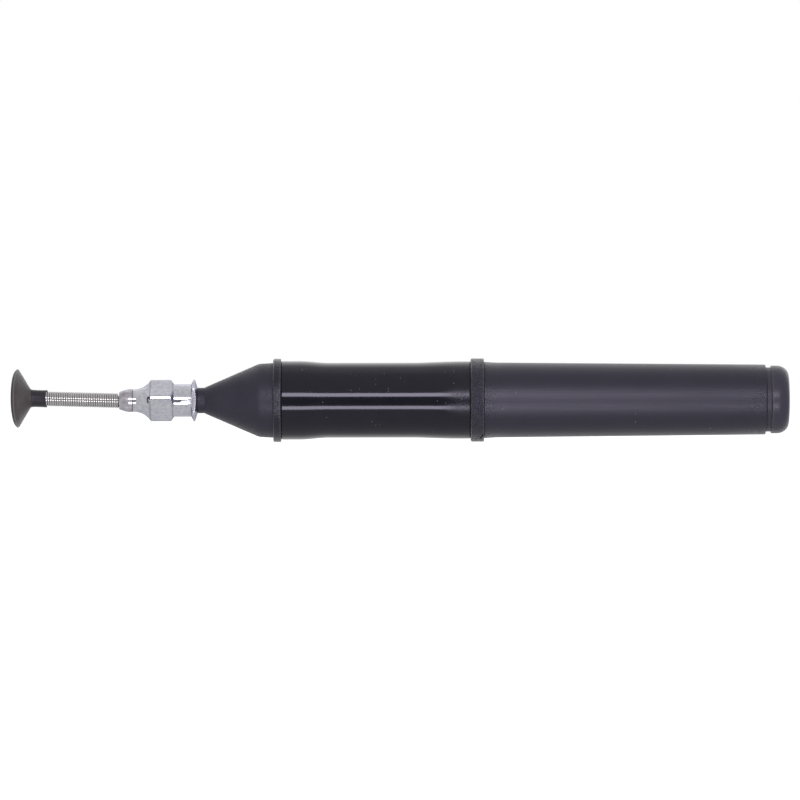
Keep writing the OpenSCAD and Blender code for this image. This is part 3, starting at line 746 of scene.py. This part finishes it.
def rough_skin(tree, shader, height, depth):
    """Bumps the surface by a grain of this depth, in millimetres."""
    made = add(tree, "ShaderNodeBump", Height=height, Distance=depth * MM, Strength=1.0)
    tree.links.new(made.outputs[0], shader.inputs["Normal"])


def grained(tree, shader, skin, smoothest, roughest, depth):
    """The grain's mask sets the roughness, and its height the bump."""
    put(tree, spread(tree, skin["Mask"], 0, 1, smoothest, roughest), shader.inputs["Roughness"])
    rough_skin(tree, shader, skin["Height"], depth)


def shade(r, g, b):
    """An opaque colour."""
    return (r, g, b, 1)


def mottled(tree, place, scale, dark, light):
    """A colour that moves softly between two tones."""
    return use(tree, mottle, Place=place, Scale=scale, Dark=shade(*dark), Light=shade(*light))[0]


def dusted(tree, place, colour, scale, size, share, tone):
    """The colour with specks of dust in a share of the cells."""
    specks = use(tree, dust, Place=place, Scale=scale, Size=size, Share=share)[0]
    return blend_colour(tree, specks, colour, shade(*tone))


# %% [markdown]
# The sleeve is a glossy black rubber. Its waist is polished, so lamps show there as crisp lines,
# and its rear cuff is a little rougher, so that the lines break up into specks before the collar.
# COOL tints what black mouldings mirror, and a little Sheen pales them at a slant.

# %% Sleeve rubber
COOL = shade(0.90, 0.86, 1.0)
sleeve_rubber, tree, shader, place = finish("polished_sleeve_rubber", IOR=1.47, Specular_Tint=COOL,
                                            Sheen_Weight=0.12, Sheen_Roughness=0.42)
colour = mottled(tree, place, 300.0, (0.006, 0.006, 0.011), (0.009, 0.009, 0.014))
put(tree, dusted(tree, place, colour, 1300.0, 0.14, 0.12, (0.36, 0.36, 0.38)),
    shader.inputs["Base Color"])
along = add(tree, "ShaderNodeSeparateXYZ", Vector=place).outputs[0]
rough_from, rough_to = sleeve_end - 6.5, sleeve_end - 1.5
rear_share = spread(tree, along, rough_from * MM, rough_to * MM, 0, 1, smooth=True)
skin = use(tree, grain, Place=place, Scale=5200.0)
broken = calc(tree, "MULTIPLY", skin["Mask"], rear_share)
put(tree, calc(tree, "ADD", calc(tree, "MULTIPLY", broken, 0.15),
               calc(tree, "MULTIPLY_ADD", rear_share, 0.12, 0.09)), shader.inputs["Roughness"])
rough_skin(tree, shader, calc(tree, "MULTIPLY", skin["Height"],
                              calc(tree, "MULTIPLY_ADD", rear_share, 0.95, 0.05)), 0.006)

# %% [markdown]
# The barrel is a satin black plastic. Fingers have drawn fine streaks along it, which make its
# broad blurred light look brushed, and near both ends the mould's grain still shows.

# %% Barrel plastic
barrel_plastic, tree, shader, place = finish("satin_barrel_plastic", IOR=1.69, Specular_Tint=COOL,
                                             Sheen_Weight=0.25, Sheen_Roughness=0.42)
colour = mottled(tree, place, 160.0, (0.003, 0.0025, 0.012), (0.007, 0.0065, 0.018))
put(tree, dusted(tree, place, colour, 1200.0, 0.15, 0.04, (0.4, 0.4, 0.43)),
    shader.inputs["Base Color"])
handled = use(tree, streaks, Place=place, Along=60.0, Across=4200.0)[0]
skin = use(tree, grain, Place=place, Scale=4200.0)
front_edge = use(tree, band, Place=place, Centre=barrel_x * MM, Reach=6 * MM)[0]
rear_edge = use(tree, band, Place=place, Centre=barrel_end * MM, Reach=9 * MM)[0]
edges = calc(tree, "MAXIMUM", front_edge, rear_edge)
broken = calc(tree, "MULTIPLY", skin["Mask"], edges)
put(tree, calc(tree, "ADD", calc(tree, "MULTIPLY", broken, -0.2),
               spread(tree, handled, 0, 1, 0.42, 0.47)), shader.inputs["Roughness"])
rough_skin(tree, shader, calc(tree, "ADD", calc(tree, "MULTIPLY", skin["Height"], edges),
                              calc(tree, "MULTIPLY", handled, 0.13)), 0.05)

# %% [markdown]
# The nose, the collars and the plug are one hard plastic from different moulds. The collars are
# etched, so their light breaks into fine specks. The listed edges are painted a shade lighter:
# partly rubbed wear, partly a painted highlight of light from the right. The gasket is a black
# rubber painted lighter, as painted light against the shade of its taller neighbours, so that it
# looks like the plug and one function makes them all.

# %% Hard plastics and the gasket
def hard_plastic(name, dark, light, roughness, grain_scale, depth, worn_and_lit_at, worn_and_lit_tone):
    """A moulded plastic; the listed edges along the pen, in millimetres, show wear and a painted
    highlight.
    """
    material, tree, shader, place = finish(name, IOR=1.52, Specular_Tint=COOL,
                                           Sheen_Weight=0.18, Sheen_Roughness=0.42)
    colour = mottled(tree, place, 220.0, dark, light)
    skin = use(tree, grain, Place=place, Scale=grain_scale)
    # Each listed edge is painted lighter: rubbed wear plus a painted highlight of light from the
    # right.
    for edge in worn_and_lit_at:
        near = use(tree, band, Place=place, Centre=edge * MM, Reach=0.35 * MM)[0]
        worn_and_lit = calc(tree, "MULTIPLY", near, spread(tree, skin["Height"], 0.3, 0.6, 0.2, 1))
        colour = blend_colour(tree, worn_and_lit, colour, shade(*worn_and_lit_tone))
    put(tree, colour, shader.inputs["Base Color"])
    grained(tree, shader, skin, roughness - 0.06, roughness + 0.08, depth)
    return material


nose_plastic = hard_plastic("satin_nose_plastic", (0.018, 0.0175, 0.029), (0.027, 0.0265, 0.040),
                            0.5, 2600.0, 0.004, (nose_end, ), (0.035, 0.035, 0.045))
front_plastic = hard_plastic("etched_front_collar", (0.006, 0.006, 0.014), (0.011, 0.011, 0.022),
                             0.29, 3400.0, 0.08, (collar_x, collar_end), (0.05, 0.05, 0.06))
rear_plastic = hard_plastic("etched_rear_collar", (0.009, 0.0085, 0.018), (0.016, 0.015, 0.027),
                            0.25, 3200.0, 0.22, (rear_collar_x, rear_collar_end),
                            (0.07, 0.07, 0.08))
plug_plastic = hard_plastic("satin_plug_plastic", (0.033, 0.031, 0.046), (0.045, 0.042, 0.061),
                            0.36, 3800.0, 0.006, (head_x, ), (0.08, 0.08, 0.09))
# The gasket is painted lighter than the black rubber: painted light against the shade of its
# neighbours.
lightened_gasket_rubber = hard_plastic("gasket_rubber_painted_light", (0.034, 0.031, 0.044), (0.046, 0.043, 0.058),
                             0.45, 4000.0, 0.008, (), (0.08, 0.08, 0.09))
connector_plastic = hard_plastic("hidden_connector_plastic", (0.03, 0.03, 0.036),
                                 (0.04, 0.04, 0.046), 0.45, 3000.0, 0.006,
                                 (collar_x, rear_collar_end), (0.06, 0.06, 0.07))
print("plastics", barrel_plastic.name, nose_plastic.name, rear_plastic.name)

# %% [markdown]
# The cup is a soft grey rubber with a bloom, which looks dusty at a slant and takes more Sheen. The
# rim has a pale line, and beyond it a painted shade turns the lip's forward face black; the
# attribute reach tells where both lie.

# %% Cup rubber
cup_rubber, tree, shader, place = finish("bloomed_cup_rubber", Sheen_Weight=0.55,
                                         Sheen_Roughness=0.35)
colour = mottled(tree, place, 260.0, (0.046, 0.032, 0.029), (0.098, 0.088, 0.091))
colour = dusted(tree, place, colour, 1900.0, 0.14, 0.08, (0.3, 0.3, 0.3))
reached = add(tree, "ShaderNodeAttribute", {"attribute_name": "reach"}).outputs["Fac"]
paled = spread(tree, calc(tree, "ABSOLUTE", calc(tree, "SUBTRACT", reached, edge_at - edge_w)),
               0, 0.16, 0.8, 0, smooth=True)
colour = blend_colour(tree, paled, colour, shade(0.20, 0.19, 0.19))
# Painted shade: the lip's face beyond the edge, turned away from the light, is painted near black.
rim_painted_shade = spread(tree, reached, edge_at - 0.02, edge_at + 0.06, 0, 1)
put(tree, blend_colour(tree, rim_painted_shade, colour, shade(0.008, 0.007, 0.010)),
    shader.inputs["Base Color"])
grained(tree, shader, use(tree, grain, Place=place, Scale=3400.0), 0.48, 0.6, 0.008)

# %% [markdown]
# The tube behind the cup is a dusty black rubber, and the hidden sealing rings share it.

# %% Black rubber
black_rubber, tree, shader, place = finish("dusty_black_rubber", Specular_Tint=COOL)
colour = mottled(tree, place, 500.0, (0.018, 0.017, 0.02), (0.028, 0.026, 0.031))
put(tree, dusted(tree, place, colour, 2400.0, 0.2, 0.14, (0.25, 0.25, 0.26)),
    shader.inputs["Base Color"])
grained(tree, shader, use(tree, grain, Place=place, Scale=4600.0), 0.34, 0.5, 0.008)
print("rubbers", sleeve_rubber.name, cup_rubber.name, black_rubber.name)

# %% [markdown]
# The hub is plated brass, and the crimp bead is a softer and pinker metal. A lathe has left fine
# rings round both, and a painted shade darkens the hub's steps and the bead's rear at the joint.
# Each turn of the drawn steel wire mirrors the lamps by itself, so the wire needs only small
# changes of gloss. A low grazing tint dims what the metals mirror at a slant, a painted shade that
# darkens their outline.

# %% Metals
# A low grazing tint: a painted shade that darkens each metal's outline.
PAINTED_SLANT_SHADE = shade(0.3, 0.3, 0.34)


def metal(name, dark, light, scale, roughness, ring_scale, depth, painted_shade_at=(), dull_from=None,
          drawn=0.0):
    """A metal with turning marks; roughness is its lowest and highest. A painted shade darkens the
    listed steps, and it is duller behind dull_from, in millimetres; drawn is how streaked its
    colour is."""
    material, tree, shader, place = finish(name, Metallic=1.0, Specular_Tint=PAINTED_SLANT_SHADE)
    colour = mottled(tree, place, scale, dark, light)
    pulled = use(tree, streaks, Place=place, Along=260.0, Across=2600.0)[0]
    colour = blend_colour(tree, calc(tree, "MULTIPLY", pulled, drawn), colour, shade(*dark))
    # Painted shade: the metal is darkened at each listed step.
    for step in painted_shade_at:
        near = use(tree, band, Place=place, Centre=step * MM, Reach=0.3 * MM)[0]
        colour = blend_colour(tree, calc(tree, "MULTIPLY", near, 0.5), colour,
                              shade(0.3, 0.28, 0.31))
    put(tree, colour, shader.inputs["Base Color"])
    rings = use(tree, streaks, Place=place, Along=ring_scale, Across=ring_scale / 60)[0]
    smear = use(tree, grain, Place=place, Scale=2400.0)
    dull = spread(tree, calc(tree, "MULTIPLY", rings, smear["Height"]), 0, 0.6, *roughness)
    if dull_from:
        at = add(tree, "ShaderNodeSeparateXYZ", Vector=place).outputs[0]
        dull = calc(tree, "ADD", dull, spread(tree, at, (dull_from - 0.1) * MM,
                                              (dull_from + 0.1) * MM, 0, 0.15))
    put(tree, dull, shader.inputs["Roughness"])
    rough_skin(tree, shader, calc(tree, "ADD", rings, calc(tree, "MULTIPLY", smear["Height"], 2.5)),
               depth)
    return material


hub_metal = metal("plated_hub", (0.66, 0.66, 0.77), (0.96, 0.96, 1.0), 1500.0, (0.05, 0.10),
                  9000.0, 0.0008, (grip_x - 0.1, grip_rear_x - 0.25), lug_x, drawn=0.25)
bead_metal = metal("soft_bead_metal", (0.46, 0.42, 0.475), (0.96, 0.93, 0.98), 1100.0, (0.14, 0.3),
                   7000.0, 0.002, (hub_x, ), drawn=0.6)
wire_metal = metal("drawn_wire", (0.64, 0.62, 0.62), (0.76, 0.74, 0.74), 700.0, (0.12, 0.15),
                   2000.0, 0.0001)
core_metal = metal("plain_core_tube", (0.6, 0.6, 0.62), (0.7, 0.7, 0.72), 400.0, (0.25, 0.4),
                   5000.0, 0.002)
print("metals", hub_metal.name, bead_metal.name, wire_metal.name)

# %% [markdown]
# The liner is a milky plastic that shows only between the turns, so a plain tone is enough.

# %% Liner
liner_plastic, tree, shader, place = finish("milky_liner", Roughness=0.35)
put(tree, mottled(tree, place, 700.0, (0.5, 0.49, 0.46), (0.62, 0.61, 0.58)),
    shader.inputs["Base Color"])
rough_skin(tree, shader, use(tree, grain, Place=place, Scale=3000.0)["Height"], 0.004)

# %% [markdown]
# The connectors, the seals and the core tube have no visual piece of their own. The frame's nodes
# are kept for them, and only their slots are filled.

# %% Give every piece and every kept frame node its finish
def dress(piece, material):
    """The piece wears this material and no other."""
    piece.data.materials.clear()
    piece.data.materials.append(material)


for piece, material in [
        (cup, cup_rubber), (cup_tube, black_rubber), (coil, wire_metal), (liner, liner_plastic),
        (crimp, bead_metal), (hub, hub_metal), (nose, nose_plastic), (front_ring, front_plastic),
        (rear_ring, rear_plastic), (barrel, barrel_plastic), (gasket, lightened_gasket_rubber),
        (plug, plug_plastic)] + [(piece, sleeve_rubber) for piece in sleeve_quarters]:
    dress(piece, material)
kept_nodes = {"front_connector": connector_plastic, "rear_connector": connector_plastic,
              "core_tube": core_metal, "nose_seal": black_rubber, "front_core_seal": black_rubber,
              "rear_core_seal": black_rubber, "barrel_seal": black_rubber}
for node, material in kept_nodes.items():
    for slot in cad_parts[node].material_slots:
        slot.material = material
print("dressed", len(kept_nodes), "kept nodes")

# %% [markdown]
# The pen lies on a white floor, which to the camera glows as white as the world. A lamp shines up
# through it, so it casts no shadow.

# %% Floor
bpy.ops.mesh.primitive_plane_add(size=6)
floor = bpy.context.object
floor.name = floor.data.name = "floor"
floor.visible_shadow = False
floor.visible_glossy = False
paper = bpy.data.materials.new("white_paper")
paper.use_nodes = True
tree = paper.node_tree
tree.nodes.clear()
glow = add(tree, "ShaderNodeEmission", Color=shade(1, 1, 1), Strength=0.82)
matt = add(tree, "ShaderNodeBsdfDiffuse", Color=shade(0.8, 0.8, 0.8))
both = add(tree, "ShaderNodeAddShader")
tree.links.new(glow.outputs[0], both.inputs[0])
tree.links.new(matt.outputs[0], both.inputs[1])
sheet = add(tree, "ShaderNodeMixShader",
            Fac=add(tree, "ShaderNodeLightPath").outputs["Is Camera Ray"])
tree.links.new(matt.outputs[0], sheet.inputs[1])
tree.links.new(both.outputs[0], sheet.inputs[2])
result = add(tree, "ShaderNodeOutputMaterial")
tree.links.new(sheet.outputs[0], result.inputs[0])
dress(floor, paper)
print("floor", [round(side, 1) for side in floor.dimensions], "m")

# %% [markdown]
# An even white world would turn every gloss to chalk, so each kind of ray sees a level of its own.
# The camera sees white. A mirrored ray sees a studio: an even wall in front, a dark gap between the
# lamps, where the camera stands, and a lighter space above and behind, which pales the pen's edges.
# All other rays see an even ambient light.

# %% World
DARK_GAP, FRONT_WALL, AMBIENT = 0.174, 0.52, 0.38
world = bpy.data.worlds.new("white_studio")
bpy.context.scene.world = world
world.use_nodes = True
tree = world.node_tree
tree.nodes.clear()
path = add(tree, "ShaderNodeLightPath").outputs
toward = add(tree, "ShaderNodeSeparateXYZ",
             Vector=tree.nodes.new("ShaderNodeTexCoord").outputs["Generated"]).outputs
front = spread(tree, toward[1], -0.98, -0.93, DARK_GAP, FRONT_WALL)
behind = calc(tree, "ADD", spread(tree, toward[1], -0.1, 0.2, 0, 0.12, smooth=True),
              spread(tree, toward[1], 0.45, 0.7, 0, 0.3, smooth=True))
above = calc(tree, "MULTIPLY", spread(tree, toward[2], 0, 0.3, 0, 1), behind)
back = calc(tree, "ADD", above, spread(tree, toward[1], 0.5, 0.85, 0, 0.4, smooth=True))
mirrored = calc(tree, "ADD", front, back)
unlit = calc(tree, "MAXIMUM", path["Is Camera Ray"], path["Is Transmission Ray"])
glossy = path["Is Glossy Ray"]
level = calc(tree, "MAXIMUM", unlit, calc(tree, "MULTIPLY", glossy, mirrored))
level = calc(tree, "MAXIMUM", level, calc(tree, "MULTIPLY_ADD", glossy, -AMBIENT, AMBIENT))
backdrop = add(tree, "ShaderNodeBackground", Color=shade(1, 1, 1), Strength=level)
result = add(tree, "ShaderNodeOutputWorld")
tree.links.new(backdrop.outputs[0], result.inputs[0])
print("world", len(tree.nodes), "nodes")

# %% [markdown]
# Two long soft boxes in front make the two lines along the sleeve: their elevation sets where a
# line lies, and their height how wide it is. A third one overhead isn't mirrored.

# %% Lamps
LAMP_TINT = (1.0, 0.98, 1.05)


def soft_box(name, elevation, distance, size, brightness):
    """A rectangular lamp in front of the pen that faces it; brightness 1 looks white."""
    data = bpy.data.lights.new(name, "AREA")
    data.shape = "RECTANGLE"
    data.size, data.size_y = size
    data.energy = brightness * math.pi * size[0] * size[1]
    data.color = LAMP_TINT
    lamp = bpy.data.objects.new(name, data)
    bpy.context.collection.objects.link(lamp)
    turn = math.radians(elevation)
    lamp.location = AXIS + Vector((0, -math.cos(turn), math.sin(turn))) * distance
    lamp.rotation_euler = (AXIS - lamp.location).to_track_quat("-Z", "Y").to_euler()
    lamp.visible_camera = False
    return lamp


soft_box("upper_box", 16.2, 0.6, (0.4, 0.108), 7.2)
soft_box("lower_box", -22.3, 0.6, (0.4, 0.100), 6.6)
soft_box("overhead_box", 95.0, 0.7, (0.7, 0.4), 0.6).visible_glossy = False
print("lamps", len(bpy.data.lights))

# %% [markdown]
# A long lens from over a metre away shows the pen almost without perspective.

# %% Camera
camera_away, lens_mm, tilt = 1.17, 279, 0.0018
lens = bpy.data.cameras.new("camera")
lens.lens = lens_mm
lens.sensor_width = 36
camera = bpy.data.objects.new("camera", lens)
bpy.context.collection.objects.link(camera)
camera.location = (-0.00004, -camera_away, AXIS.z + 0.00003)
camera.rotation_euler = (math.pi / 2, tilt, 0)
bpy.context.scene.camera = camera
bpy.context.scene.view_settings.view_transform = "Standard"
print("camera", round(math.degrees(lens.angle), 2), "degrees wide")
